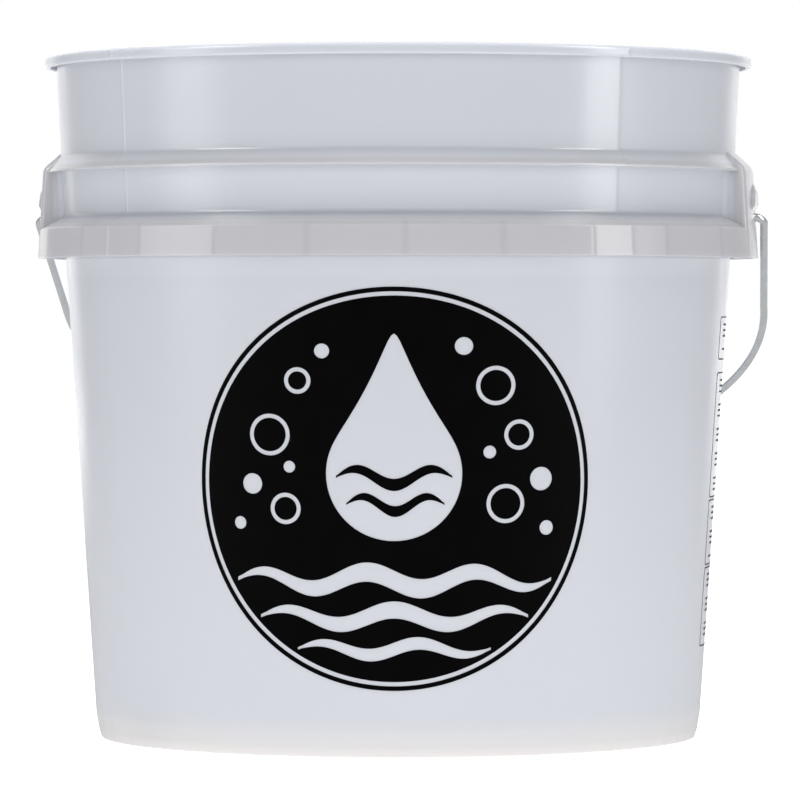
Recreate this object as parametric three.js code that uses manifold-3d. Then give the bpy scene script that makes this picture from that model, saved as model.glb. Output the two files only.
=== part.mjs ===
// Wash bucket: a one-piece moulded pail, two print films on its wall, a wire bail and the grip on it.
// Millimetres, +Z up. The origin is on the pail's axis at floor level. The ears that carry the bail
// are on +X and -X, the front faces -Y, and the bail hangs behind with its grip against the wall.

import * as THREE from "three";
import { mergeVertices } from "three/addons/utils/BufferGeometryUtils.js";
import Module from "manifold-3d";

const wasm = await Module();
wasm.setup();

const DEG = Math.PI / 180;

// Pail: heights are measured up from the floor, drops down from the top of the rim.
const height = 289.8;
const rimRadius = 151; // outside of the rim's lip
const footRadius = 128.6; // outside of the wall, carried down to the floor
const wall = 2.3;
const upperFlare = 3.9; // how much the wall widens from the knee to the mouth
const kneeDrop = 85.6; // the wall's taper changes here, at the skirt's lower edge
const lipOverhang = 5.1;
const lipDepth = 4.7;
const lipThickness = 2.4;
const rimTopThickness = 2.2;
const edgeChamfer = 0.9;

const floorThickness = 2.6;
const footRise = 3; // the floor stands this far above the foot ring
const footRingWidth = 6.6;
const footChamfer = 1.8;
const footChamferHeight = 11;
const insideCorner = 6;

const ringDrop = 42.2; // narrow umbrella ring under the rim
const ringFall = 5.3;
const ringOverhang = 5.2;
const ringEdge = 1.6;
const skirtDrop = 67.8; // deep skirt under the ring
const skirtFall = 5.5;
const skirtOverhang = 11.9; // at the skirt's lower edge
const faceLean = 3.3 * DEG; // the skirt's and the ears' outer faces lean in by this
const collarThickness = 1.9;
const root = 1; // how far the collars and ears run into the wall

const gussetThickness = 1.6;
const gussetPitch = 15 * DEG;
const gussetLift = 0.8; // above the skirt's lower edge

// Ears: hollow boxes, open below, that hold the bail.
const earHalfAngle = 10.4 * DEG;
const earRoofDrop = 40.8;
const earRoofFall = 6.6;
const earWall = 2.2;
const pivotDrop = 68;
const pivotClearance = 1.5; // how much wider the hole is than the bail's wire
const bossRadius = 14.2;
const bossHeight = 1.6;
const bossSill = 2.4; // from the pivot up to the boss's lower edge
const bossLowerRamp = 2.6;
const bossUpperRamp = 3.6;

// Bail: round wire in one plane, a hooked tip in each ear and a quarter circle down to a flat middle.
const wireDiameter = 3.4;
const tipLength = 9;
const tipBend = 3;
const tipClearance = 1.8; // between the hooked tip and the ear's face
const legBend = 5;
const legOffset = 3.55; // centre of the leg's top outside the ear's face
const legConvergence = 2.5; // how much nearer the axis the leg's lower end is
const swingClearance = 2.8; // between the grip and the rim as the bail swings over

// Grip: a ribbed sleeve that turns on the bail's flat middle.
const gripLength = 83;
const gripRadius = 10.5;
const gripBoreClearance = 0.5;
const gripEndPlay = 0.5;
const gripRibs = 7;
const gripGrooveDepth = 0.9;
const gripCollar = 5;
const gripRest = 0.5; // gap between the hanging grip and the wall

// Prints: thin films that follow the wall.
const filmThickness = 0.3;
const filmGap = 0.3;
const discRadius = 82;
const discHeight = 109.5;
const discTurn = 5.7 * DEG; // from the front towards +X
const panelLow = 39.6;
const panelHigh = 179.4;
const panelWidth = 66;
const panelLead = 7.2 * DEG; // the panel's edge in front of +X
const panelCorner = 3;

const pailSegments = 72;
const filmSegments = 144;
const wireSides = 10;
const gripSegments = 24;
const holeSides = 16;

const kneeHeight = height - kneeDrop;
const lipUnderside = height - lipDepth;
const mouthRadius = rimRadius - lipOverhang;
const kneeRadius = mouthRadius - upperFlare;
const skirtRadius = kneeRadius + skirtOverhang;
const floorTop = footRise + floorThickness;
const pivotHeight = height - pivotDrop;

// Outside radius of the wall at a height.
function wallRadius(z) {
  if (z < kneeHeight) return THREE.MathUtils.mapLinear(z, 0, kneeHeight, footRadius, kneeRadius);
  return THREE.MathUtils.mapLinear(z, kneeHeight, lipUnderside, kneeRadius, mouthRadius);
}

// Outside radius of the skirt's face and, above it, of the ears' faces.
function faceRadius(z) {
  return skirtRadius - (z - kneeHeight) * Math.tan(faceLean);
}

// A closed geometry as a manifold solid.
function solid(geometry) {
  const bare = geometry.clone();
  bare.deleteAttribute("normal");
  bare.deleteAttribute("uv");
  const merged = mergeVertices(bare, 1e-4);
  const vertProperties = new Float32Array(merged.attributes.position.array);
  const triVerts = new Uint32Array(merged.index.array);
  return new wasm.Manifold(new wasm.Mesh({ numProp: 3, vertProperties, triVerts }));
}

// A manifold solid as a geometry with flat faces.
function geometryOf(manifold) {
  const { vertProperties, triVerts, numProp } = manifold.getMesh();
  const positions = new Float32Array((vertProperties.length / numProp) * 3);
  for (let i = 0; i < positions.length / 3; i++) {
    for (let k = 0; k < 3; k++) positions[3 * i + k] = vertProperties[numProp * i + k];
  }
  const geometry = new THREE.BufferGeometry();
  geometry.setAttribute("position", new THREE.BufferAttribute(positions, 3));
  geometry.setIndex(new THREE.BufferAttribute(new Uint32Array(triVerts), 1));
  geometry.computeVertexNormals();
  return geometry;
}

// An outline of [radius, height] points turned about +Z. It runs anticlockwise, from axis to axis
// or back to its first point.
function revolved(outline, segments) {
  const points = outline.map(([r, z]) => new THREE.Vector2(r, z));
  return new THREE.LatheGeometry(points, segments).rotateX(Math.PI / 2);
}

function closedRing(outline, segments = pailSegments) {
  return solid(revolved([...outline, outline[0]], segments));
}

// A flat outline of [x, y] points, pushed along +Z from a start to an end.
function prism(outline, start, end) {
  const shape = new THREE.Shape(outline.map(([x, y]) => new THREE.Vector2(x, y)));
  const geometry = new THREE.ExtrudeGeometry(shape, { depth: end - start, bevelEnabled: false });
  return geometry.translate(0, 0, start);
}

// The space within an angle each side of +X, drawn in by an inset from both side planes.
function sector(halfAngle, inset = 0) {
  const apex = inset / Math.sin(halfAngle);
  const far = 2 * rimRadius;
  const spread = (far - apex) * Math.tan(halfAngle);
  return solid(prism([[apex, 0], [far, -spread], [far, spread]], 0, height));
}

// The same solid on both ears.
function onBothEars(manifold) {
  return manifold.add(manifold.rotate([0, 0, 180]));
}

// Wall, floor, foot ring and rim.
function pailShell() {
  const footEdge = footRadius - footRingWidth;
  const insideFoot = wallRadius(floorTop + insideCorner) - wall;
  const cornerShare = 0.3; // how far the middle of a corner stands off its ends
  const outline = [
    [0, footRise],
    [footEdge, footRise],
    [footEdge + edgeChamfer, 0],
    [footRadius - footChamfer, 0],
    [footRadius - cornerShare * footChamfer, cornerShare * footChamferHeight],
    [wallRadius(footChamferHeight), footChamferHeight],
    [kneeRadius, kneeHeight],
    [mouthRadius, lipUnderside],
    [mouthRadius, height - rimTopThickness],
    [rimRadius - lipThickness, height - rimTopThickness],
    [rimRadius - lipThickness, lipUnderside],
    [rimRadius, lipUnderside],
    [rimRadius, height - edgeChamfer],
    [rimRadius - edgeChamfer, height],
    [mouthRadius - wall + edgeChamfer, height],
    [mouthRadius - wall, height - edgeChamfer],
    [mouthRadius - wall, lipUnderside],
    [kneeRadius - wall, kneeHeight],
    [insideFoot, floorTop + insideCorner],
    [insideFoot - cornerShare * insideCorner, floorTop + cornerShare * insideCorner],
    [insideFoot - insideCorner, floorTop],
    [0, floorTop],
  ];
  return solid(revolved(outline, pailSegments));
}

// A collar that slopes off the wall from its crest to an edge, and hangs from there, open below.
function collar(crest, fall, edgeRadius, lowRadius, edgeHeight) {
  const low = crest - fall - edgeHeight;
  const inside = Math.max(crest - fall - collarThickness, low);
  const foot = wallRadius(crest) - root;
  return closedRing([
    [foot, crest - collarThickness],
    [wallRadius(crest), crest - collarThickness],
    [edgeRadius - collarThickness, inside],
    [lowRadius - collarThickness, low],
    [lowRadius, low],
    [edgeRadius, crest - fall],
    [wallRadius(crest), crest],
    [foot, crest],
  ]);
}

function collars() {
  const ringCrest = height - ringDrop;
  const ringRadius = wallRadius(ringCrest) + ringOverhang;
  const skirtCrest = height - skirtDrop;
  const skirtEdge = skirtCrest - skirtFall;
  const ring = collar(ringCrest, ringFall, ringRadius, ringRadius, ringEdge);
  const skirtDepth = skirtEdge - kneeHeight;
  const skirt = collar(skirtCrest, skirtFall, faceRadius(skirtEdge), skirtRadius, skirtDepth);
  return ring.add(skirt).subtract(onBothEars(sector(earHalfAngle, earWall / 2)));
}

// Radial plates that stiffen the skirt from behind.
function gussets() {
  const crest = height - skirtDrop;
  const bottom = kneeHeight + gussetLift;
  const bite = collarThickness / 2;
  const edge = crest - skirtFall;
  const outline = [
    [wallRadius(bottom) - root, bottom],
    [faceRadius(bottom) - bite, bottom],
    [faceRadius(edge) - bite, edge - bite],
    [wallRadius(crest) - root, crest - bite],
  ];
  const plate = prism(outline, -gussetThickness / 2, gussetThickness / 2).rotateX(Math.PI / 2);
  const plates = [];
  for (let turn = gussetPitch / 2; turn < Math.PI / 2 - earHalfAngle; turn += gussetPitch) {
    for (const angle of [Math.PI / 2 - turn, Math.PI / 2 + turn]) {
      plates.push(solid(plate.clone().rotateZ(angle)));
      plates.push(solid(plate.clone().rotateZ(-angle)));
    }
  }
  return plates;
}

// Ear boxes: a face, two radial sides and a sloping roof round a pocket that opens below.
function ears() {
  const roof = height - earRoofDrop;
  const eave = roof - earRoofFall;
  const block = closedRing([
    [wallRadius(kneeHeight) - root, kneeHeight],
    [faceRadius(kneeHeight), kneeHeight],
    [faceRadius(eave), eave],
    [wallRadius(roof), roof],
    [wallRadius(roof) - root, roof],
  ]).intersect(sector(earHalfAngle));
  const beyond = 2 * root;
  const pocket = closedRing([
    [wallRadius(kneeHeight) - root - beyond, kneeHeight - beyond],
    [faceRadius(kneeHeight - beyond) - earWall, kneeHeight - beyond],
    [faceRadius(eave) - earWall, eave - earWall],
    [wallRadius(roof), roof - earWall],
    [wallRadius(roof) - root - beyond, roof - earWall],
  ]).intersect(sector(earHalfAngle, earWall));
  return onBothEars(block.subtract(pocket));
}

// A disc along X about the pivot, from one distance to another from the axis.
function pivotDisc(radius, start, end, sides) {
  const disc = new THREE.CylinderGeometry(radius, radius, end - start, sides);
  return solid(disc.rotateZ(Math.PI / 2).translate((start + end) / 2, 0, pivotHeight));
}

// Round-topped pads above the pivot holes, ramped at both ends so that the bail clears them.
function bosses() {
  const low = pivotHeight + bossSill;
  const high = pivotHeight + bossRadius;
  const proud = (z) => [faceRadius(z) + bossHeight, z];
  const pad = closedRing([
    [faceRadius(low) - root, low],
    [faceRadius(low), low],
    proud(low + bossLowerRamp),
    proud(high - bossUpperRamp),
    [faceRadius(high), high],
    [faceRadius(high) - root, high],
  ]);
  const reach = skirtRadius + 2 * bossHeight;
  return onBothEars(pad.intersect(pivotDisc(bossRadius, 0, reach, 4 * holeSides)));
}

function pivotHoles() {
  const radius = (wireDiameter + pivotClearance) / 2;
  const start = faceRadius(pivotHeight) - 1.5 * earWall;
  return onBothEars(pivotDisc(radius, start, start + 4 * earWall, holeSides));
}

function pail() {
  let body = pailShell().add(collars()).add(ears());
  for (const plate of gussets()) body = body.add(plate);
  return geometryOf(body.add(bosses()).subtract(pivotHoles()));
}

// A run of straight and curved stretches, stepped from point to point.
class WirePath extends THREE.Curve {
  constructor(points) {
    super();
    this.points = points;
  }

  getPoint(t, target = new THREE.Vector3()) {
    const last = this.points.length - 1;
    const index = Math.min(Math.floor(t * last + 1e-6), last - 1);
    return target.lerpVectors(this.points[index], this.points[index + 1], t * last - index);
  }

  getPointAt(u, target) {
    return this.getPoint(u, target);
  }

  getTangent(t, target = new THREE.Vector3()) {
    const last = this.points.length - 1;
    const index = Math.round(t * last);
    const before = this.points[Math.max(index - 1, 0)];
    const here = this.points[index];
    const after = this.points[Math.min(index + 1, last)];
    const arriving = here.clone().sub(before).normalize();
    const leaving = after.clone().sub(here).normalize();
    return target.copy(arriving).add(leaving).normalize();
  }

  getTangentAt(u, target) {
    return this.getTangent(u, target);
  }
}

// Points round part of a circle, both ends included, angles in degrees.
function arc(u, v, radius, from, to, steps) {
  const points = [];
  for (let i = 0; i <= steps; i++) {
    const angle = (from + ((to - from) * i) / steps) * DEG;
    points.push([u + radius * Math.cos(angle), v + radius * Math.sin(angle)]);
  }
  return points;
}

const earFace = faceRadius(pivotHeight);
const legTop = earFace + legOffset;
const legFoot = legTop - legConvergence;
const flatHalf = gripLength / 2 + gripEndPlay;
const cornerRadius = legFoot - flatHalf;
const bailReach = Math.hypot(rimRadius, pivotDrop) + gripRadius + swingClearance;
const legLength = bailReach - cornerRadius;

// Half of the wire's centre line in the bail's plane: [distance from the middle, from the pivot].
function bailHalf() {
  const tip = earFace - earWall - tipClearance - wireDiameter / 2;
  const legStart = legTop - legBend;
  return [
    [tip, -tipLength],
    ...arc(tip + tipBend, -tipBend, tipBend, 180, 90, 4),
    ...arc(legStart, legBend, legBend, -90, 0, 5),
    ...arc(flatHalf, legLength, cornerRadius, 0, 90, 14),
  ];
}

function bail() {
  const half = bailHalf();
  const mirrored = half.map(([u, v]) => [-u, v]).reverse();
  const points = [...half, ...mirrored].map(([u, v]) => new THREE.Vector3(u, 0, -v));
  const section = new THREE.Shape(arc(0, 0, wireDiameter / 2, 0, 360 - 360 / wireSides, wireSides - 1)
    .map(([x, y]) => new THREE.Vector2(x, y)));
  return new THREE.ExtrudeGeometry(section, {
    steps: points.length - 1,
    extrudePath: new WirePath(points),
    bevelEnabled: false,
  });
}

// Angle from straight down at which the grip meets the wall behind.
function restAngle() {
  const taper = Math.atan((kneeRadius - footRadius) / kneeHeight);
  const wallAtPivot = footRadius + pivotHeight * Math.tan(taper);
  const across = gripRadius + gripRest + wallAtPivot * Math.cos(taper);
  return Math.asin(across / bailReach) - taper;
}

function grip() {
  const bore = (wireDiameter + gripBoreClearance * 2) / 2;
  const half = gripLength / 2;
  const groove = gripRadius - gripGrooveDepth;
  const pitch = (gripLength - 2 * gripCollar) / (2 * gripRibs + 1);
  const outline = [
    [bore, -half],
    [gripRadius - edgeChamfer, -half],
    [gripRadius, -half + edgeChamfer],
  ];
  for (let i = 0; i <= gripRibs; i++) {
    const start = -half + gripCollar + 2 * i * pitch;
    outline.push([gripRadius, start]);
    outline.push([groove, start + gripGrooveDepth]);
    outline.push([groove, start + pitch - gripGrooveDepth]);
    outline.push([gripRadius, start + pitch]);
  }
  outline.push([gripRadius, half - edgeChamfer]);
  outline.push([gripRadius - edgeChamfer, half]);
  outline.push([bore, half]);
  return revolved([...outline, outline[0]], gripSegments).rotateY(Math.PI / 2);
}

// A film on the wall, cut to an outline of [distance round the wall, height], facing -Y before
// it is turned.
function film(outline, middle, turn) {
  const heights = outline.map(([, z]) => z);
  const low = Math.min(...heights);
  const high = Math.max(...heights);
  const inside = (z) => wallRadius(z) + filmGap;
  const shell = closedRing([
    [inside(low), low],
    [inside(low) + filmThickness, low],
    [inside(high) + filmThickness, high],
    [inside(high), high],
  ], filmSegments);
  const radius = wallRadius(middle);
  const flat = outline.map(([s, z]) => [radius * Math.sin(s / radius), z]);
  const cutter = prism(flat, 0, 2 * rimRadius).rotateX(Math.PI / 2);
  return geometryOf(shell.intersect(solid(cutter))).rotateZ(turn);
}

function frontPrint() {
  const outline = arc(0, discHeight, discRadius, 0, 352.5, 47);
  return film(outline, discHeight, discTurn);
}

function sidePrint() {
  const half = panelWidth / 2;
  const middle = (panelLow + panelHigh) / 2;
  const right = half - panelCorner;
  const top = panelHigh - panelCorner;
  const bottom = panelLow + panelCorner;
  const outline = [
    ...arc(right, top, panelCorner, 0, 90, 3),
    ...arc(-right, top, panelCorner, 90, 180, 3),
    ...arc(-right, bottom, panelCorner, 180, 270, 3),
    ...arc(right, bottom, panelCorner, 270, 360, 3),
  ];
  const turn = Math.PI / 2 - panelLead + half / wallRadius(middle);
  return film(outline, middle, turn);
}

function material(color, roughness, metalness = 0) {
  return new THREE.MeshStandardMaterial({ color, roughness, metalness });
}

function part(name, geometry, look) {
  const mesh = new THREE.Mesh(geometry, look);
  mesh.name = name;
  return mesh;
}

const naturalPlastic = material(0xd3d7dd, 0.35);
const blackInk = material(0x0b0b0d, 0.4);
const galvanisedWire = material(0xa9b0b6, 0.3, 1);
const gripPlastic = material(0xe4e6ea, 0.45);

const bailGroup = new THREE.Group();
bailGroup.position.z = pivotHeight;
bailGroup.rotation.x = restAngle();
bailGroup.add(part("bail_wire", bail(), galvanisedWire));

const gripMesh = part("grip", grip(), gripPlastic);
gripMesh.position.z = -bailReach;
bailGroup.add(gripMesh);

const bucket = new THREE.Group();
bucket.add(part("bucket_body", pail(), naturalPlastic));
bucket.add(part("front_print", frontPrint(), blackInk));
bucket.add(part("side_print", sidePrint(), blackInk));
bucket.add(bailGroup);

export default bucket;
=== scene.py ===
"""Looks for the wash bucket: a finely moulded pail, its screen prints, the bail wire and its grip.

Metres, +Z up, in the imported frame. The pail's axis is the Z axis, its front faces -Y and its ears
are on +X and -X. An angle round the pail is measured from the front towards +X, in degrees.
"""

import math
import random

import bmesh
import bpy
import numpy as np
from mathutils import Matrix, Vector
from mathutils.geometry import delaunay_2d_cdt


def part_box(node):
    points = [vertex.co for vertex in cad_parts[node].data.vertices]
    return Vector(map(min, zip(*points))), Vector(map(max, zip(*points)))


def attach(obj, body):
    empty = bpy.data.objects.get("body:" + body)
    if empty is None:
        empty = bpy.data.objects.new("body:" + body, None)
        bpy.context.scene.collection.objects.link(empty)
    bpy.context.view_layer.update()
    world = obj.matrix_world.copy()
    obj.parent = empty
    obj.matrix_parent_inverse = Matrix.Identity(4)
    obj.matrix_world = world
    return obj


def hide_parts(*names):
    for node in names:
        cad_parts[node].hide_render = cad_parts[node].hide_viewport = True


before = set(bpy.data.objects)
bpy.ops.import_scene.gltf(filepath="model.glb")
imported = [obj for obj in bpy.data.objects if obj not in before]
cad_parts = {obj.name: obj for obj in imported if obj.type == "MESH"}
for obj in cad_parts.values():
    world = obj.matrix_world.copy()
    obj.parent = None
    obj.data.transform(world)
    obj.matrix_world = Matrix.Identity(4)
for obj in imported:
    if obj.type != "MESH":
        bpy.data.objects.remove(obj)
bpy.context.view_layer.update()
grip_low, grip_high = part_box("grip")

MM = 0.001

# Pail, as moulded. Drops are measured down from the top of the rim.
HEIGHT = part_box("bucket_body")[1].z
RIM = 151 * MM
FOOT = 128.6 * MM
WALL = 2.3 * MM
KNEE = HEIGHT - 85.6 * MM
MOUTH = RIM - 5.1 * MM
KNEE_RADIUS = MOUTH - 3.9 * MM
LIP_LOW = HEIGHT - 4.7 * MM
SKIRT = KNEE_RADIUS + 11.9 * MM
LEAN = math.tan(math.radians(3.3))
FLOOR_TOP = 5.6 * MM
RING_CREST = HEIGHT - 42.2 * MM
RING_REACH = 5.2 * MM  # how far the ring stands out from the wall
RING_FALL = 6.1 * MM  # its slope
RING_DROP = 6.9 * MM  # from its crest to its lower edge
SKIRT_CREST = HEIGHT - 67.8 * MM
SKIRT_EDGE = SKIRT_CREST - 5.5 * MM  # where its slope turns down into its face
COLLAR = 1.9 * MM
ROOT = 1 * MM  # how far a piece reaches into what it joins
SKIN = 0.02 * MM  # how far a filleted edge starts inside the face that it meets
GUSSET_PITCH = 15
SEAMS = (-135, -45, 45, 135)  # where the mould's four slides meet

# Ears
EAR_HALF = 10.4
EAR_WALL = 2.2 * MM
EAR_ROOF = HEIGHT - 40.8 * MM
EAR_EAVE = EAR_ROOF - 6.6 * MM
PIVOT = HEIGHT - 68 * MM
HOLE = 2.45 * MM
BOSS_RADIUS = 14.2 * MM
BOSS_RISE = 1.6 * MM

# Bail and grip
WIRE = 1.7 * MM
GRIP_CENTRE = (grip_low + grip_high) / 2
BAIL_REACH = math.hypot(GRIP_CENTRE.y, PIVOT - GRIP_CENTRE.z)
BAIL_ANGLE = math.atan2(GRIP_CENTRE.y, PIVOT - GRIP_CENTRE.z)
GRIP_RADIUS = 10.5 * MM

# Prints
INK_GAP = 0.04 * MM
INK_THICKNESS = 0.05 * MM
BADGE_RADIUS = 82 * MM
BADGE_HEIGHT = 109.5 * MM
BADGE_ANGLE = 5.7
BADGE_STRETCH = 1.026  # round the wall, so that it looks round from the front
PANEL_LEAD = 7.2


def wall_radius(z):
    """Outside radius of the wall at a height."""
    return float(np.interp(z, (0, KNEE, LIP_LOW), (FOOT, KNEE_RADIUS, MOUTH)))


def face_radius(z):
    """Outside radius of the skirt's face and the ears' faces at a height."""
    return SKIRT - (z - KNEE) * LEAN


def at(radius, angle, z):
    """The point at a radius and an angle round the pail."""
    turn = math.radians(angle)
    return radius * math.sin(turn), -radius * math.cos(turn), z


RING_EDGE = wall_radius(RING_CREST) + RING_REACH


# Meshes

def new_piece(name, vertices, faces):
    """An object made of a mesh, linked to the scene."""
    mesh = bpy.data.meshes.new(name)
    mesh.from_pydata(vertices, [], faces)
    mesh.validate()
    piece = bpy.data.objects.new(name, mesh)
    bpy.context.scene.collection.objects.link(piece)
    return piece


def rounded(outline, steps=4):
    """An outline of (across, up) or (across, up, fillet) points, with each filleted corner drawn round."""
    points = []
    count = len(outline)
    for i, corner in enumerate(outline):
        here = Vector(corner[:2])
        if len(corner) < 3:
            points.append(tuple(here))
            continue
        before = Vector(outline[i - 1][:2]) - here
        after = Vector(outline[(i + 1) % count][:2]) - here
        half = before.angle(after) / 2
        run = min(corner[2] / math.tan(half), 0.48 * before.length, 0.48 * after.length)
        start, end = here + before.normalized() * run, here + after.normalized() * run
        for k in range(steps + 1):
            t = k / steps
            points.append(tuple(start * (1 - t) ** 2 + here * 2 * t * (1 - t) + end * t ** 2))
    return points


def turned_angles(start, end):
    """Angles for a turned surface: even steps, and fine ones across each mould seam and gusset."""
    angles = list(np.arange(math.ceil(start / 1.25) * 1.25, end + 1e-6, 1.25))
    for seam in SEAMS:
        angles += [seam + side * step for side in (-1, 1) for step in (0, 0.05, 0.1, 0.17, 0.3, 0.6, 0.9)]
    for plate in np.arange(-187.5, 270, GUSSET_PITCH):
        angles += [plate + side * step for side in (-1, 1) for step in (0, 0.2, 0.4, 0.7)]
    angles += [start, end]
    kept = sorted(set(round(a, 4) for a in angles if start <= a <= end))
    return [a for i, a in enumerate(kept) if i == 0 or a - kept[i - 1] > 0.02]


def turned(name, outline, start=-180, end=180, relief=None, steps=None):
    """A closed solid: an outline of (radius, z) points turned from one angle to another.

    An outline that starts and ends on the axis is a whole turn. relief(angle, radius, z) is how far
    a point stands out from its radius.
    """
    whole = end - start >= 360
    on_axis = outline[0][0] == 0
    angles = list(np.linspace(start, end, steps + 1)) if steps else turned_angles(start, end)
    if whole:
        angles = angles[:-1]
    rows = outline[1:-1] if on_axis else outline
    vertices, faces = [], []
    for angle in angles:
        for radius, z in rows:
            extra = relief(angle, radius, z) if relief else 0
            vertices.append(at(radius + extra, angle, z))
    size, count = len(rows), len(angles)
    for i in range(count if whole else count - 1):
        a, b = i * size, (i + 1) % count * size
        for j in range(size - 1 if on_axis else size):
            k = (j + 1) % size
            faces.append((a + j, b + j, b + k, a + k))
    if on_axis:
        vertices += [(0, 0, outline[0][1]), (0, 0, outline[-1][1])]
        low, high = len(vertices) - 2, len(vertices) - 1
        for i in range(count):
            a, b = i * size, (i + 1) % count * size
            faces.append((low, b, a))
            faces.append((high, a + size - 1, b + size - 1))
    elif not whole:
        faces.append(tuple(range(size)))
        faces.append(tuple(range((count - 1) * size, count * size))[::-1])
    piece = new_piece(name, vertices, faces)
    facing_out(piece)
    return piece


def facing_out(piece):
    """Turns the faces outward if the solid came out inside out."""
    piece.data.calc_loop_triangles()
    volume = 0
    for triangle in piece.data.loop_triangles:
        a, b, c = (piece.data.vertices[i].co for i in triangle.vertices)
        volume += a.dot(b.cross(c))
    if volume < 0:
        piece.data.flip_normals()


def applied(piece):
    """Makes the piece's modifiers part of its mesh."""
    graph = bpy.context.evaluated_depsgraph_get()
    mesh = bpy.data.meshes.new_from_object(piece.evaluated_get(graph))
    piece.modifiers.clear()
    old = piece.data
    piece.data = mesh
    bpy.data.meshes.remove(old)
    return piece


def combined(piece, tool, operation="UNION"):
    """Joins the tool to the piece, or cuts or crosses the piece with it, and deletes the tool."""
    cut = piece.modifiers.new("cut", "BOOLEAN")
    cut.object = tool
    cut.operation = operation
    cut.solver = "MANIFOLD"
    applied(piece)
    bpy.data.objects.remove(tool)
    return piece


def bevelled(piece, width, segments=5):
    """Rounds the sharp edges of a block that stands out from the wall, apart from its lower ones."""
    shape = bmesh.new()
    shape.from_mesh(piece.data)
    sharp = []
    for edge in shape.edges:
        middle = (edge.verts[0].co + edge.verts[1].co) / 2
        outside = math.hypot(middle.x, middle.y) > wall_radius(middle.z) + 1 * MM
        if outside and middle.z > KNEE + 1 * MM and edge.calc_face_angle(0) > math.radians(25):
            sharp.append(edge)
    bmesh.ops.bevel(shape, geom=sharp, offset=width, offset_type="OFFSET", segments=segments, profile=0.5,
                    affect="EDGES", clamp_overlap=True)
    shape.to_mesh(piece.data)
    shape.free()
    return piece


def smoothed(piece, crease=38):
    """Smooth shading, with creases where faces meet at more than an angle."""
    piece.data.polygons.foreach_set("use_smooth", [True] * len(piece.data.polygons))
    piece.data.set_sharp_from_angle(angle=math.radians(crease))
    weighted = piece.modifiers.new("weighted", "WEIGHTED_NORMAL")
    weighted.keep_sharp = True
    return piece


# Pail

def seam_relief(angle):
    """The fine rib left at each mould seam, and the wall falling away a little on its far side."""
    total = 0
    for seam in SEAMS:
        across = math.radians(angle - seam) * MOUTH
        total += 0.2 * MM * math.exp(-((across / (0.42 * MM)) ** 2))
        beyond = across * math.copysign(1, seam) * (1 if abs(seam) < 90 else -1) / (8 * MM)
        if beyond > 0:
            total -= 0.2 * MM * beyond * math.exp(1 - beyond)
    return total


def wall_relief(angle, radius, z):
    """The seams show on the outside of the wall, above the skirt's lower edge."""
    return seam_relief(angle) if z > KNEE + 2 * MM and radius > wall_radius(z) - 0.1 * MM else 0


def ring_relief(angle, _radius, _z):
    return seam_relief(angle)


def skirt_relief(angle, radius, z):
    """The skirt is drawn a little flat between the gussets behind it, and sinks over each of them."""
    if radius < wall_radius(z) + 2 * MM:
        return seam_relief(angle)
    share = (angle / GUSSET_PITCH + 0.5) % 1
    across = math.radians((abs(share - 0.5) - 0.5) * GUSSET_PITCH) * radius
    sink = 0.14 * MM * math.exp(-((across / (0.8 * MM)) ** 2))
    return seam_relief(angle) - 1.8 * MM * share * (1 - share) - sink


def pail_shell():
    foot_edge = FOOT - 6.6 * MM
    inside = MOUTH - WALL
    knee_inside = KNEE_RADIUS - WALL
    corner = wall_radius(FLOOR_TOP) - WALL
    return turned("pail", [(0, 3 * MM)] + rounded([
        (foot_edge - 8 * MM, 3 * MM, 1 * MM),
        (foot_edge, 3 * MM, 0.8 * MM),
        (foot_edge + 0.9 * MM, 0, 0.6 * MM),
        (FOOT - 1.6 * MM, 0, 0.7 * MM),
        (FOOT - 0.5 * MM, 3.6 * MM, 12 * MM),
        (wall_radius(11 * MM), 11 * MM, 24 * MM),
        (wall_radius(60 * MM), 60 * MM),
        (wall_radius(130 * MM), 130 * MM),
        (KNEE_RADIUS, KNEE),
        (wall_radius(KNEE + 4 * MM), KNEE + 4 * MM),
        (MOUTH, LIP_LOW),
        (MOUTH, HEIGHT - 2.2 * MM, 0.5 * MM),
        (RIM - 2.4 * MM, HEIGHT - 2.2 * MM, 0.5 * MM),
        (RIM - 2.4 * MM, LIP_LOW, 0.4 * MM),
        (RIM, LIP_LOW, 1.1 * MM),
        (RIM, HEIGHT, 2.6 * MM),
        (inside, HEIGHT, 1.0 * MM),
        (inside, LIP_LOW),
        (knee_inside, KNEE),
        (corner, FLOOR_TOP, 7 * MM),
        (corner - 12 * MM, FLOOR_TOP),
    ]) + [(0, FLOOR_TOP)], relief=wall_relief)


def collar(crest, fall, edge, low_radius, low, fillet):
    """A collar that slopes off the wall and hangs from its edge, open below."""
    under = max(crest - fall - COLLAR, low + 0.2 * MM)
    foot, above = wall_radius(crest) - ROOT, crest + 2.4 * MM
    return rounded([
        (foot, crest - COLLAR),
        (wall_radius(crest), crest - COLLAR, 0.8 * MM),
        (edge - COLLAR, under, 0.6 * MM),
        (low_radius - COLLAR, low),
        (low_radius, low, 0.15 * MM),
        (edge, crest - fall, 0.45 * MM),
        (wall_radius(crest) - SKIN, crest, fillet),
        (wall_radius(above) - SKIN, above),
        (foot, above),
    ])


def collars():
    """The ring and the skirt, each in a front and a back half that end in the ears' side walls."""
    fillet = 2 * MM
    ring = collar(RING_CREST, RING_FALL, RING_EDGE, RING_EDGE, RING_CREST - RING_DROP, fillet)
    skirt = collar(SKIRT_CREST, SKIRT_CREST - SKIRT_EDGE, face_radius(SKIRT_EDGE), SKIRT, KNEE, fillet)
    reach = 90 - EAR_HALF + math.degrees(EAR_WALL / 2 / SKIRT)
    for start, end in ((-reach, reach), (180 - reach, 180 + reach)):
        yield turned("ring", ring, start, end, ring_relief)
        yield turned("skirt", skirt, start, end, skirt_relief)


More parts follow.
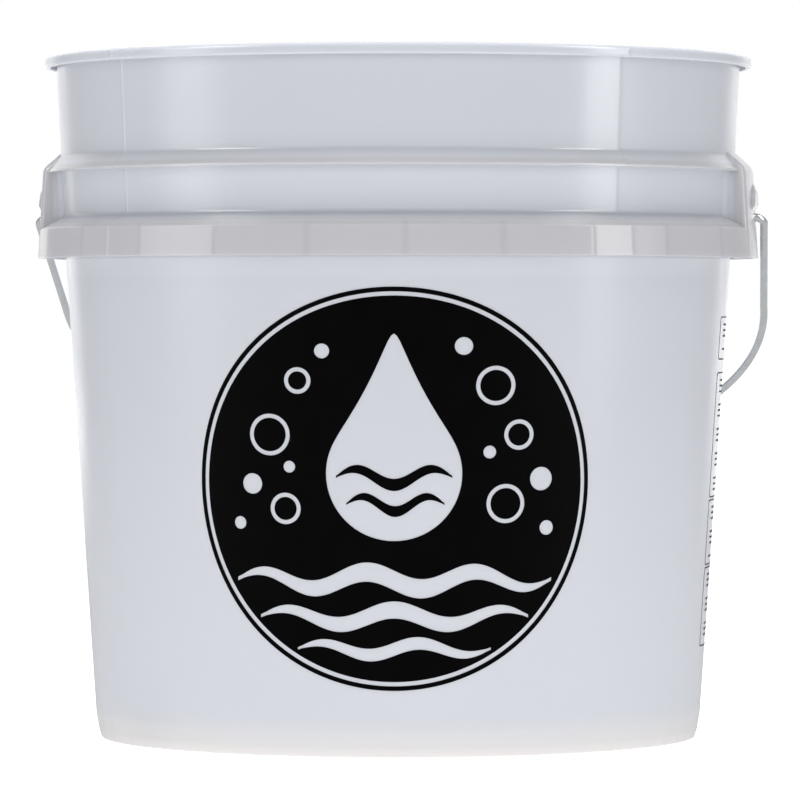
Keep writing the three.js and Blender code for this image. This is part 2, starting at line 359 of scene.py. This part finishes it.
def gussets():
    """Thin drafted plates behind the skirt, five to each side of the middle, front and back, as one mesh."""
    per_side = 5
    bottom, bite = KNEE + 0.8 * MM, COLLAR / 2
    thickness, thin, draft_height = 1.6 * MM, 0.75, 20 * MM
    outline = [
        (wall_radius(bottom) - ROOT, bottom),
        (face_radius(bottom) - 1.4 * bite, bottom),
        (face_radius(SKIRT_EDGE) - 1.4 * bite, SKIRT_EDGE - bite),
        (wall_radius(SKIRT_CREST) - ROOT, SKIRT_CREST - bite),
    ]
    corners = len(outline)
    vertices, faces = [], []
    for side in (0, 180):
        for step in range(-per_side, per_side):
            turn = math.radians(side + (step + 0.5) * GUSSET_PITCH)
            out = Vector((math.sin(turn), -math.cos(turn), 0))
            along = Vector((math.cos(turn), math.sin(turn), 0))
            first = len(vertices)
            for half in (-thickness / 2, thickness / 2):
                for radius, z in outline:
                    draft = thin + (1 - thin) * (z - KNEE) / draft_height
                    vertices.append(out * radius + along * half * draft + Vector((0, 0, z)))
            near, far = range(first, first + corners), range(first + corners, first + 2 * corners)
            faces += [tuple(near), tuple(far)[::-1]]
            for k in range(corners):
                n = (k + 1) % corners
                faces.append((near[n], near[k], far[k], far[n]))
    piece = new_piece("gussets", vertices, faces)
    facing_out(piece)
    return piece


def ear(side):
    """A hollow box with a sloping roof round a pocket that opens below."""
    root = 1.8 * MM
    pitch = (EAR_ROOF - EAR_EAVE) / (face_radius(EAR_EAVE) - wall_radius(EAR_ROOF))
    block = turned("ear", [
        (wall_radius(KNEE) - root, KNEE),
        (face_radius(KNEE), KNEE),
        (face_radius(EAR_EAVE), EAR_EAVE),
        (wall_radius(EAR_ROOF) - root, EAR_ROOF + root * pitch),
    ], side - EAR_HALF, side + EAR_HALF, steps=12)
    bevelled(block, 2.4 * MM)
    inset = math.degrees(EAR_WALL / SKIRT)
    pocket = turned("pocket", [
        (wall_radius(KNEE) - 3 * ROOT, KNEE - 2 * MM),
        (face_radius(KNEE - 2 * MM) - EAR_WALL, KNEE - 2 * MM),
        (face_radius(EAR_EAVE) - EAR_WALL, EAR_EAVE - EAR_WALL),
        (wall_radius(EAR_ROOF), EAR_ROOF - EAR_WALL),
        (wall_radius(EAR_ROOF) - 3 * ROOT, EAR_ROOF - EAR_WALL),
    ], side - EAR_HALF + inset, side + EAR_HALF - inset, steps=12)
    bevelled(pocket, 1 * MM)
    return combined(block, pocket, "DIFFERENCE")


def ear_fillet(side, sign):
    """The hollow corner between an ear's side and the wall, drawn round."""
    radius, bite = 3.2 * MM, 0.6 * MM
    section = [(-bite, -bite), (radius, -bite)]
    for k in range(9):
        turn = math.radians(90 * k / 8)
        section.append((radius * (1 - math.sin(turn)), radius * (1 - math.cos(turn))))
    section.append((-bite, radius))
    vertices = []
    for z in (KNEE + 10 * MM, EAR_EAVE + 1 * MM):
        for across, out in section:
            reach = wall_radius(z) + out
            vertices.append(at(reach, side + sign * (EAR_HALF + math.degrees(across / reach)), z))
    count = len(section)
    faces = [tuple(range(count)), tuple(range(count, 2 * count))[::-1]]
    faces += [(k, k + count, (k + 1) % count + count, (k + 1) % count) for k in range(count)]
    piece = new_piece("fillet", vertices, faces)
    facing_out(piece)
    return piece


def pivot_disc(name, radius, start, end, sides=64):
    """A disc along X about the pivot, between two distances from the axis."""
    ring = [(radius * math.cos(2 * math.pi * k / sides), radius * math.sin(2 * math.pi * k / sides))
            for k in range(sides)]
    vertices = [(x, y, PIVOT + z) for x in (start, end) for y, z in ring]
    faces = [tuple(range(sides)), tuple(range(sides, 2 * sides))[::-1]]
    for k in range(sides):
        n = (k + 1) % sides
        faces.append((k, k + sides, n + sides, n))
    piece = new_piece(name, vertices, faces)
    facing_out(piece)
    return piece


def boss(side):
    """The round-topped pad above a pivot hole."""
    low, high = PIVOT + 2.4 * MM, PIVOT + BOSS_RADIUS
    full_low, full_high = low + 2.6 * MM, high - 3.6 * MM
    half_angle = 6.5
    sign = 1 if side > 0 else -1
    pad = turned("boss", rounded([
        (face_radius(low) - ROOT, low),
        (face_radius(low) - SKIN, low),
        (face_radius(full_low) + BOSS_RISE, full_low, 1.2 * MM),
        (face_radius(full_high) + BOSS_RISE, full_high, 1.6 * MM),
        (face_radius(high) - SKIN, high),
        (face_radius(high) - ROOT, high),
    ]), side - half_angle, side + half_angle)
    disc = pivot_disc("disc", BOSS_RADIUS, sign * 140 * MM, sign * 160 * MM, 96)
    return combined(pad, disc, "INTERSECT")


def pail():
    """The whole moulding as one solid."""
    body = pail_shell()
    for part in collars():
        combined(body, part)
    combined(body, gussets())
    for side in (90, -90):
        sign = 1 if side > 0 else -1
        combined(body, ear(side))
        combined(body, ear_fillet(side, 1))
        combined(body, ear_fillet(side, -1))
        combined(body, boss(side))
        near = face_radius(PIVOT) - 1.5 * EAR_WALL
        combined(body, pivot_disc("hole", HOLE, sign * near, sign * (near + 4 * EAR_WALL), 40), "DIFFERENCE")
    return smoothed(body)


# Prints

def circle(s, z, radius, sides=48):
    """A circle's points in (distance round the wall, height)."""
    return [(s + radius * math.cos(2 * math.pi * k / sides), z + radius * math.sin(2 * math.pi * k / sides))
            for k in range(sides)]


def box_outline(left, right, low, high, corner=None):
    corners = [(left, low), (right, low), (right, high), (left, high)]
    return rounded([(*point, corner) for point in corners]) if corner else corners


def inside_count(outlines, s, z):
    """How many outlines hold each of the points s, z."""
    total = np.zeros(len(s), int)
    for outline in outlines:
        points = np.array(outline)
        ends = np.roll(points, -1, axis=0)
        crossing = np.zeros(len(s), bool)
        for (x0, y0), (x1, y1) in zip(points, ends):
            if y0 == y1:
                continue
            spans = (z > min(y0, y1)) & (z <= max(y0, y1))
            crossing ^= spans & (s < x0 + (z - y0) * (x1 - x0) / (y1 - y0))
        total += crossing
    return total


def ink(name, outlines, middle, angle):
    """A film of ink on the wall. Each outline is drawn in (distance round the wall, height) about the
    middle, and a point is inked where it lies inside an odd number of them."""
    flat, edges = [], []
    for outline in outlines:
        first, count = len(flat), len(outline)
        flat += [Vector(p) for p in outline]
        edges += [(first + k, first + (k + 1) % count) for k in range(count)]
    across = [p[0] for outline in outlines for p in outline]
    up = [p[1] for outline in outlines for p in outline]
    step = 2.5 * MM
    for k in range(math.ceil(min(across) / step), math.floor(max(across) / step) + 1):
        flat += [Vector((k * step, min(up) - MM)), Vector((k * step, max(up) + MM))]
        edges.append((len(flat) - 2, len(flat) - 1))
    points, _, triangles, _, _, _ = delaunay_2d_cdt(flat, edges, [], 0, 1e-7)
    points = np.array([tuple(p) for p in points])
    triangles = np.array(triangles)
    centres = points[triangles].mean(axis=1)
    triangles = triangles[inside_count(outlines, centres[:, 0], centres[:, 1]) % 2 == 1]
    used = np.unique(triangles)
    renumbered = {old: new for new, old in enumerate(used)}
    faces = [tuple(renumbered[i] for i in triangle) for triangle in triangles]
    count = len(used)
    vertices = []
    for lift in (INK_GAP, INK_GAP + INK_THICKNESS):
        for s, z in points[used]:
            height = middle + z
            turn = angle + math.degrees(s / wall_radius(middle))
            vertices.append(at(wall_radius(height) + lift, turn, height))
    sides = {}
    for face in faces:
        for k in range(3):
            edge = (face[k], face[(k + 1) % 3])
            sides[edge] = edge[::-1] not in sides
            if not sides[edge]:
                del sides[edge], sides[edge[::-1]]
    top = [tuple(i + count for i in face) for face in faces]
    rim = [(b, a, a + count, b + count) for a, b in sides]
    piece = new_piece(name, vertices, [face[::-1] for face in faces] + top + [f[::-1] for f in rim])
    facing_out(piece)
    return smoothed(piece, 50)


def drop_outline(s, z, width, height, steps=72):
    """A water drop with its point up, about the centre of its round part."""
    points = []
    for k in range(steps):
        turn = 2 * math.pi * k / steps
        pull = max(math.sin(turn), 0) ** 6
        points.append((s + width / 2 * math.cos(turn) * (1 - 0.55 * pull),
                       z + width / 2 * math.sin(turn) + (height - width) * pull))
    return points


def wave_outline(s0, s1, z, swell, thickness, turns, steps=90):
    """A long ripple, thickest in its middle."""
    over, under = [], []
    for k in range(steps + 1):
        t = k / steps
        s = s0 + (s1 - s0) * t
        centre = z + swell * math.sin(2 * math.pi * turns * t)
        half = thickness / 2 * math.sin(math.pi * min(max(t, 0.02), 0.98)) ** 0.6
        over.append((s, centre + half))
        under.append((s, centre - half))
    return over + under[::-1]


def badge():
    """A plain emblem: a black disc in a pinstripe, with a water drop over ripples and bubbles."""
    outlines = [
        circle(0, 0, BADGE_RADIUS, 180),
        circle(0, 0, 80.1 * MM, 180),
        circle(0, 0, 78.4 * MM, 180),
        drop_outline(0, 6 * MM, 54 * MM, 84 * MM),
        wave_outline(-23 * MM, 23 * MM, 5 * MM, 3.2 * MM, 5 * MM, 1.5),
        wave_outline(-19 * MM, 20 * MM, -6 * MM, 3 * MM, 4.4 * MM, 1.5),
        wave_outline(-66 * MM, 66 * MM, -37 * MM, 3.4 * MM, 8 * MM, 3),
        wave_outline(-56 * MM, 56 * MM, -52 * MM, 3 * MM, 7 * MM, 2.5),
        wave_outline(-40 * MM, 40 * MM, -65 * MM, 2.4 * MM, 5.4 * MM, 2),
    ]
    for s, z, radius in ((-50, 22, 8.5), (-38, 44, 5.4), (-58, 2, 4.2), (-44, -8, 6.4), (-28, 56, 3),
                         (50, 22, 6.2), (40, 42, 8), (60, 4, 4.8), (45, -6, 8), (27, 58, 3.6),
                         (-64, -14, 2.6), (63, -16, 3), (-42, 9, 2.4), (38, 15, 2.6)):
        outlines.append(circle(s * MM, z * MM, radius * MM, 40))
        if radius > 5:
            outlines.append(circle(s * MM, z * MM, (radius - 1.7) * MM, 40))
    outlines = [[(s * BADGE_STRETCH, z) for s, z in outline] for outline in outlines]
    return ink("badge", outlines, BADGE_HEIGHT, BADGE_ANGLE)


def side_panel():
    """Ruled boxes of short plain bars in rows, the way a bucket's side is marked."""
    low, high, width = 39.6 * MM, 179.4 * MM, 66 * MM
    middle, line, margin, indent = (low + high) / 2, 0.5 * MM, 2.6 * MM, 9 * MM
    boxes = ((161.1 * MM, high), (102.7 * MM, 155.8 * MM), (74.1 * MM, 101.9 * MM), (low, 73.3 * MM))
    outlines = []
    seeded = random.Random(7)
    for bottom, top in boxes:
        bottom, top = bottom - middle, top - middle
        outlines.append(box_outline(-width / 2, width / 2, bottom, top, 2.4 * MM))
        outlines.append(box_outline(-width / 2 + line, width / 2 - line, bottom + line, top - line, 1.9 * MM))
        z, row = top - margin - 1.2 * MM, 0
        while z > bottom + margin:
            s, last = -width / 2 + indent, width / 2 - indent
            if row % 3 == 2:
                last -= seeded.uniform(8, 26) * MM
            while s < last - 2 * MM:
                run = min(seeded.uniform(2.2, 7.5) * MM, last - s)
                outlines.append(box_outline(s, s + run, z, z + 0.8 * MM))
                s += run + 1.1 * MM
            row += 1
            z -= 2.4 * MM if row % 3 else 5.6 * MM
    turn = 90 - PANEL_LEAD + math.degrees(width / 2 / wall_radius(middle))
    return ink("side_panel", outlines, middle, turn)


# Bail and grip

def bent(u, v, radius, start, end, steps):
    """Points round part of a circle, angles in degrees."""
    for k in range(steps + 1):
        turn = math.radians(start + (end - start) * k / steps)
        yield u + radius * math.cos(turn), v + radius * math.sin(turn)


def bail_route():
    """The wire's centre line in the bail's plane: (distance from the middle, from the pivot)."""
    tip_bend, leg_bend = 3 * MM, 5 * MM
    tip = face_radius(PIVOT) - EAR_WALL - 1.8 * MM - WIRE
    leg_top = face_radius(PIVOT) + 3.55 * MM
    flat_half = 42 * MM
    corner = leg_top - 2.5 * MM - flat_half
    half = [(tip, -9 * MM), (tip, -6 * MM)]
    half += bent(tip + tip_bend, -tip_bend, tip_bend, 180, 90, 8)
    half += bent(leg_top - leg_bend, leg_bend, leg_bend, -90, 0, 12)
    half += bent(flat_half, BAIL_REACH - corner, corner, 0, 90, 60)
    return half + [(-u, v) for u, v in reversed(half)]


def bail():
    """Round wire along the route, with the burr of its cut ends rounded off."""
    across = Vector((0, math.cos(BAIL_ANGLE), math.sin(BAIL_ANGLE)))
    down = Vector((0, math.sin(BAIL_ANGLE), -math.cos(BAIL_ANGLE)))
    pivot = Vector((0, 0, PIVOT))
    route = [pivot + Vector((u, 0, 0)) + down * v for u, v in bail_route()]
    first, last = (route[0] - route[1]).normalized(), (route[-1] - route[-2]).normalized()
    burr, tip_share, burr_share = 0.35 * MM, 0.72, 0.93
    stations = [(route[0], tip_share), (route[0] - first * burr, burr_share)]
    stations += [(place, 1) for place in route[1:-1]]
    stations += [(route[-1] - last * burr, burr_share), (route[-1], tip_share)]
    places = [place for place, _ in stations]
    sides = 28
    vertices, faces = [], []
    for i, (place, scale) in enumerate(stations):
        along = (places[min(i + 1, len(places) - 1)] - places[max(i - 1, 0)]).normalized()
        out = along.cross(across).normalized()
        for k in range(sides):
            turn = 2 * math.pi * k / sides
            vertices.append(place + (out * math.cos(turn) + across * math.sin(turn)) * WIRE * scale)
    for i in range(len(stations) - 1):
        for k in range(sides):
            n = (k + 1) % sides
            faces.append((i * sides + k, i * sides + n, (i + 1) * sides + n, (i + 1) * sides + k))
    faces.append(tuple(range(sides))[::-1])
    faces.append(tuple(range(len(vertices) - sides, len(vertices))))
    piece = new_piece("bail", vertices, faces)
    facing_out(piece)
    return smoothed(piece, 40)


def grip():
    """A moulded sleeve with rounded ribs between two smooth collars, and a seam down each side."""
    half, outer, bore = 41.5 * MM, GRIP_RADIUS, 2.2 * MM
    groove, band, ribs = outer - 0.9 * MM, 5 * MM, 7
    pitch = (2 * half - 2 * band) / (2 * ribs + 1)
    slope, soft, mouth, edge = 0.7 * MM, 0.5 * MM, 0.4 * MM, 1.1 * MM
    outline = [(bore, -half, mouth), (outer, -half, edge)]
    for i in range(ribs + 1):
        start = -half + band + 2 * i * pitch
        outline += [(outer, start, soft), (groove, start + slope, soft),
                    (groove, start + pitch - slope, soft), (outer, start + pitch, soft)]
    outline += [(outer, half, edge), (bore, half, mouth)]
    rows = rounded(outline, 3)
    angles = sorted(set([k * 5 for k in range(72)] + [a + d for a in (90, 270) for d in (-2, -1, 1, 2)]))
    vertices, faces = [], []
    for angle in angles:
        turn = math.radians(angle)
        rib = 0.14 * MM if angle in (90, 270) else 0
        for radius, x in rows:
            reach = min(radius + (rib if radius > groove - 0.1 * MM else 0), outer)
            vertices.append(GRIP_CENTRE + Vector((x, reach * math.cos(turn), reach * math.sin(turn))))
    size, count = len(rows), len(angles)
    for i in range(count):
        a, b = i * size, (i + 1) % count * size
        for j in range(size):
            k = (j + 1) % size
            faces.append((a + j, b + j, b + k, a + k))
    piece = new_piece("sleeve", vertices, faces)
    facing_out(piece)
    return smoothed(piece, 50)


# Materials

class Nodes:
    """A material's node tree, with short ways to add what the materials here share."""

    def __init__(self, name):
        self.material = bpy.data.materials.new(name)
        self.material.use_nodes = True
        self.tree = self.material.node_tree
        self.shader = self.tree.nodes["Principled BSDF"]
        self.place = self.tree.nodes.new("ShaderNodeTexCoord").outputs["Object"]

    def node(self, kind, inputs=None, **settings):
        node = self.tree.nodes.new(kind)
        for key, value in settings.items():
            setattr(node, key, value)
        for key, value in (inputs or {}).items():
            if isinstance(value, bpy.types.NodeSocket):
                self.tree.links.new(value, node.inputs[key])
            else:
                node.inputs[key].default_value = value
        return node

    def stretched(self, x, y, z):
        return self.node("ShaderNodeMapping", {"Vector": self.place, "Scale": (x, y, z)}).outputs[0]

    def noise(self, scale, detail=3, vector=None):
        return self.node("ShaderNodeTexNoise", {"Vector": vector or self.place, "Scale": scale,
                                                "Detail": detail}).outputs[0]

    def maths(self, operation, first, second):
        return self.node("ShaderNodeMath", {0: first, 1: second}, operation=operation).outputs[0]

    def between(self, value, low, high, to_low=0.0, to_high=1.0):
        return self.node("ShaderNodeMapRange", {"Value": value, "From Min": low, "From Max": high,
                                                "To Min": to_low, "To Max": to_high}).outputs[0]

    def mixed(self, share, first, second):
        node = self.node("ShaderNodeMix", data_type="RGBA")
        for socket, value in ((0, share), (6, first), (7, second)):
            if isinstance(value, bpy.types.NodeSocket):
                self.tree.links.new(value, node.inputs[socket])
            else:
                node.inputs[socket].default_value = value if socket == 0 else (*value, 1)
        return node.outputs[2]

    def bumped(self, height, strength, distance, normal=None):
        inputs = {"Height": height, "Strength": strength, "Distance": distance}
        if normal:
            inputs["Normal"] = normal
        return self.node("ShaderNodeBump", inputs).outputs[0]

    def shade(self, **values):
        for key, value in values.items():
            name = key.replace("_", " ")
            if isinstance(value, bpy.types.NodeSocket):
                self.tree.links.new(value, self.shader.inputs[name])
            else:
                self.shader.inputs[name].default_value = value
        return self.material


def natural_plastic():
    """Milky polyethylene, cool, with painted light and shade: warmer near the floor as a painted reflection,
    brighter between the collars and just below the skirt as painted light, and greyer as painted shade where
    a collar stands off the wall, most of all over each gusset."""
    n = Nodes("natural_plastic")
    split = n.node("ShaderNodeSeparateXYZ", {"Vector": n.place}).outputs
    x, y, z = split["X"], split["Y"], split["Z"]
    across = n.node("ShaderNodeCombineXYZ", {"X": x, "Y": y}).outputs[0]
    radius = n.node("ShaderNodeVectorMath", {0: across}, operation="LENGTH").outputs["Value"]
    half_pitch = math.radians(GUSSET_PITCH / 2)
    from_middle = n.maths("PINGPONG", n.maths("ARCTAN2", x, y), half_pitch)
    # Painted shade: the skirt is painted darker over each gusset behind it, where the gusset holds back the
    # light through the plastic.
    over_gusset = n.between(from_middle, half_pitch - math.radians(0.8), half_pitch - math.radians(0.3))
    painted_gusset_shade = n.maths("MULTIPLY", over_gusset, n.between(z, SKIRT_CREST, SKIRT_CREST - MM))
    skirt = n.mixed(painted_gusset_shade, (0.467, 0.461, 0.482), (0.440, 0.435, 0.456))
    # Painted shade: the ring and the skirt get darker tones than the wall where they stand off it, with no
    # wall behind them.
    on_skirt = n.between(radius, RING_EDGE + 0.5 * MM, RING_EDGE + 1.5 * MM)
    painted_collar_shade = n.mixed(on_skirt, (0.505, 0.503, 0.522), skirt)
    # Painted light: the wall between the collars is painted brighter, to lift the shade that they cast on it.
    between_collars = n.maths("MULTIPLY", n.between(z, SKIRT_CREST - MM, SKIRT_CREST + MM),
                              n.between(z, RING_CREST - MM, RING_CREST - 6 * MM))
    neck = wall_radius(SKIRT_CREST)
    bright = n.maths("MULTIPLY", between_collars, n.between(radius, neck - 0.9 * MM, neck - 0.3 * MM))
    stands_off = n.between(radius, RING_EDGE - 2.4 * MM, RING_EDGE - 1.2 * MM)
    backless_painted_shade = n.maths("MULTIPLY", stands_off, n.between(z, RING_CREST, RING_CREST - 2 * MM))
    # Painted light: the wall just below the skirt is painted brighter, as if light came through the skirt.
    glow = n.maths("MULTIPLY", n.between(z, KNEE - 10 * MM, KNEE - 1 * MM),
                   n.between(z, KNEE - 0.3 * MM, KNEE - 0.9 * MM))
    colour = n.mixed(n.noise(7, 2), (0.540, 0.554, 0.596), (0.556, 0.570, 0.611))
    colour = n.mixed(bright, colour, (0.597, 0.613, 0.658))
    # Paints the collars' shade where they stand off the wall.
    colour = n.mixed(backless_painted_shade, colour, painted_collar_shade)
    colour = n.mixed(glow, colour, (0.640, 0.655, 0.700))
    # Painted reflection and light from the floor: the bottom 16 mm is painted warmer and lighter.
    colour = n.mixed(n.between(z, 16 * MM, 0.0), colour, (0.62, 0.60, 0.59))
    flow = n.noise(9, 2, n.stretched(1, 1, 0.25))
    normal = n.bumped(flow, 0.12, 1.2 * MM)
    normal = n.bumped(n.noise(1300, 2), 0.06, 0.08 * MM, normal)
    rough = n.between(n.noise(40, 3), 0.35, 0.65, 0.21, 0.27)
    return n.shade(Base_Color=colour, Roughness=rough, Normal=normal, Subsurface_Weight=0.3,
                   Subsurface_Radius=(0.9, 1.0, 1.1), Subsurface_Scale=4 * MM, IOR=1.5)


def black_ink():
    """Screen ink: dense black, a little uneven, with a faint grain from the screen."""
    n = Nodes("black_ink")
    colour = n.mixed(n.noise(90, 3), (0.0008, 0.0008, 0.0010), (0.0018, 0.0018, 0.0022))
    normal = n.bumped(n.noise(900, 2), 0.15, 0.00005)
    rough = n.between(n.noise(300, 3), 0.3, 0.7, 0.42, 0.55)
    return n.shade(Base_Color=colour, Roughness=rough, Normal=normal, Specular_IOR_Level=0.03)


def bright_wire():
    """Zinc-plated drawn wire: bright, with dull patches and fine scratches along it."""
    n = Nodes("bright_wire")
    colour = n.mixed(n.noise(140, 4), (0.84, 0.86, 0.88), (0.66, 0.68, 0.70))
    rough = n.between(n.noise(500, 4), 0.3, 0.7, 0.12, 0.26)
    normal = n.bumped(n.noise(1800, 3), 0.12, 0.00005)
    return n.shade(Base_Color=colour, Roughness=rough, Normal=normal, Metallic=1.0)


def grip_plastic():
    """Natural polyethylene with the fine matt grain that a hand wears smooth."""
    n = Nodes("grip_plastic")
    colour = n.mixed(n.noise(60, 3), (0.56, 0.575, 0.60), (0.61, 0.625, 0.65))
    rough = n.between(n.noise(180, 3), 0.35, 0.65, 0.38, 0.5)
    normal = n.bumped(n.noise(1100, 2), 0.25, 0.00015)
    return n.shade(Base_Color=colour, Roughness=rough, Normal=normal, Subsurface_Weight=0.25,
                   Subsurface_Radius=(0.9, 1.0, 1.1), Subsurface_Scale=0.003)


def dressed(piece, material, body, node):
    """Gives a piece its material, the body it rides on, and the CAD node it stands for."""
    piece.data.materials.clear()
    piece.data.materials.append(material)
    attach(piece, body)
    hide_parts(node)


dressed(pail(), natural_plastic(), "bucket", "bucket_body")
print_ink = black_ink()
dressed(badge(), print_ink, "bucket", "front_print")
dressed(side_panel(), print_ink, "bucket", "side_print")
dressed(bail(), bright_wire(), "bail", "bail_wire")
dressed(grip(), grip_plastic(), "grip", "grip")


# Studio. Angles are measured from the camera's axis, round the bucket.

CAMERA_ANGLE = 6.4  # degrees from the front towards +X
CAMERA_DISTANCE = 2.4
EYE = 0.18
AIM = 0.1436
AIM_ASIDE = 0.8 * MM
LAMP_LEVEL = 1.2  # a softbox lower than this faces straight in
BUCKET_MIDDLE = 0.15


def camera():
    lens = bpy.data.cameras.new("camera")
    lens.lens, lens.sensor_width, lens.clip_end = 252, 36, 200
    view = bpy.data.objects.new("camera", lens)
    bpy.context.scene.collection.objects.link(view)
    turn = math.radians(CAMERA_ANGLE)
    right = Vector((math.cos(turn), math.sin(turn), 0))
    view.location = at(CAMERA_DISTANCE, CAMERA_ANGLE, EYE)
    aim = right * AIM_ASIDE + Vector((0, 0, AIM))
    view.rotation_euler = (aim - view.location).to_track_quat("-Z", "Y").to_euler()
    bpy.context.scene.camera = view


def floor():
    """A pale floor that glows, with a painted pool of light brightest round the bucket, and dimmer where a
    gloss shows it.
    """
    reach = 60
    corners = [(-reach, -reach, 0), (reach, -reach, 0), (reach, reach, 0), (-reach, reach, 0)]
    piece = new_piece("floor", corners, [(0, 1, 2, 3)])
    n = Nodes("pale_floor")
    pale = n.mixed(n.noise(3, 3), (0.36, 0.36, 0.36), (0.40, 0.40, 0.40))
    away = n.node("ShaderNodeVectorMath", {0: n.place}, operation="LENGTH").outputs["Value"]
    # Painted light: the floor glows, strongest round the bucket and fading further out.
    n.shade(Base_Color=pale, Roughness=0.9, Specular_IOR_Level=0.0, Emission_Color=(1, 1, 1, 1),
            Emission_Strength=n.between(away, 0.15, 0.55, 1.45, 1.02))
    dim = n.node("ShaderNodeEmission", {"Color": pale, "Strength": 1.5}).outputs[0]
    seen = n.node("ShaderNodeLightPath").outputs["Is Glossy Ray"]
    mix = n.node("ShaderNodeMixShader", {0: seen, 1: n.shader.outputs[0], 2: dim}).outputs[0]
    n.tree.links.new(mix, n.tree.nodes["Material Output"].inputs["Surface"])
    piece.data.materials.append(n.material)


def surroundings():
    """White behind the object, and an even cool dome all round it."""
    world = bpy.data.worlds.new("studio")
    world.use_nodes = True
    tree = world.node_tree
    tree.nodes.clear()
    backdrop = tree.nodes.new("ShaderNodeBackground")
    backdrop.inputs["Color"].default_value = (1, 1, 1, 1)
    dome = tree.nodes.new("ShaderNodeBackground")
    dome.inputs["Color"].default_value = (0.98, 0.99, 1.0, 1)
    dome.inputs["Strength"].default_value = 0.37
    seen = tree.nodes.new("ShaderNodeLightPath")
    mix = tree.nodes.new("ShaderNodeMixShader")
    out = tree.nodes.new("ShaderNodeOutputWorld")
    tree.links.new(seen.outputs["Is Camera Ray"], mix.inputs[0])
    tree.links.new(dome.outputs[0], mix.inputs[1])
    tree.links.new(backdrop.outputs[0], mix.inputs[2])
    tree.links.new(mix.outputs[0], out.inputs["Surface"])
    bpy.context.scene.world = world


def area_light(name, place, energy):
    """An area light that the camera doesn't see."""
    lamp = bpy.data.lights.new(name, "AREA")
    lamp.energy = energy
    light = bpy.data.objects.new(name, lamp)
    bpy.context.scene.collection.objects.link(light)
    light.location = place
    light.visible_camera = False
    return light


def softbox(name, angle, distance, z, width, height, radiance, highlight=True):
    """An oblong light that faces the bucket. It makes a highlight only, or fills the shadows without one."""
    place = at(distance, CAMERA_ANGLE + angle, z)
    light = area_light(name, place, radiance * math.pi * width * height)
    light.data.shape = "RECTANGLE"
    light.data.size, light.data.size_y = width, height
    facing = Vector((0, 0, z if z < LAMP_LEVEL else BUCKET_MIDDLE)) - light.location
    light.rotation_euler = facing.to_track_quat("-Z", "Y").to_euler()
    light.visible_glossy = highlight
    light.visible_diffuse = not highlight


def overhead():
    """A broad soft light straight above, for the sloping tops of the collars."""
    light = area_light("overhead", (0, 0, 2.2), 50)
    light.data.shape, light.data.size = "DISK", 1.4
    light.visible_glossy = False


def flag(name, angle):
    """A tall grey card beside the bucket that only shows as a dark edge in its reflections."""
    half_width, tall, distance = 0.88, 2.2, 1.6
    place = Vector(at(distance, CAMERA_ANGLE + angle, 0))
    along = Vector((place.y, -place.x, 0)).normalized() * half_width
    top = Vector((0, 0, tall))
    corners = [place - along, place + along, place + along + top, place - along + top]
    piece = new_piece(name, corners, [(0, 1, 2, 3)])
    n = Nodes(name)
    grey = n.mixed(n.noise(5), (0.26, 0.26, 0.27), (0.30, 0.30, 0.31))
    piece.data.materials.append(n.shade(Base_Color=grey, Roughness=1.0, Specular_IOR_Level=0.0))
    piece.visible_camera = piece.visible_diffuse = piece.visible_shadow = False
    piece.visible_transmission = False


floor()
camera()
surroundings()
# name, angle, distance, height of its middle, width, height, radiance
softbox("fill", 0, 3.2, 1.3, 2.2, 1.8, 1.8, highlight=False)
softbox("left_strip", -70, 1.5, 0.76, 0.50, 1.2, 2.6)
softbox("right_strip", 70, 1.5, 0.76, 0.36, 1.2, 6.0)
softbox("left_high", -66, 1.5, 1.38, 0.60, 0.44, 13.0)
softbox("right_high", 70, 1.5, 1.38, 0.40, 0.44, 16.0)
softbox("left_glow", -70, 1.5, 0.08, 0.50, 0.16, 1.0)
softbox("right_glow", 70, 1.5, 0.08, 0.36, 0.16, 1.4)
softbox("backdrop", 180, 1.9, 0.8, 2.6, 1.6, 0.85)
flag("left_flag", -114)
flag("right_flag", 114)
overhead()
bpy.context.scene.view_settings.view_transform = "Standard"
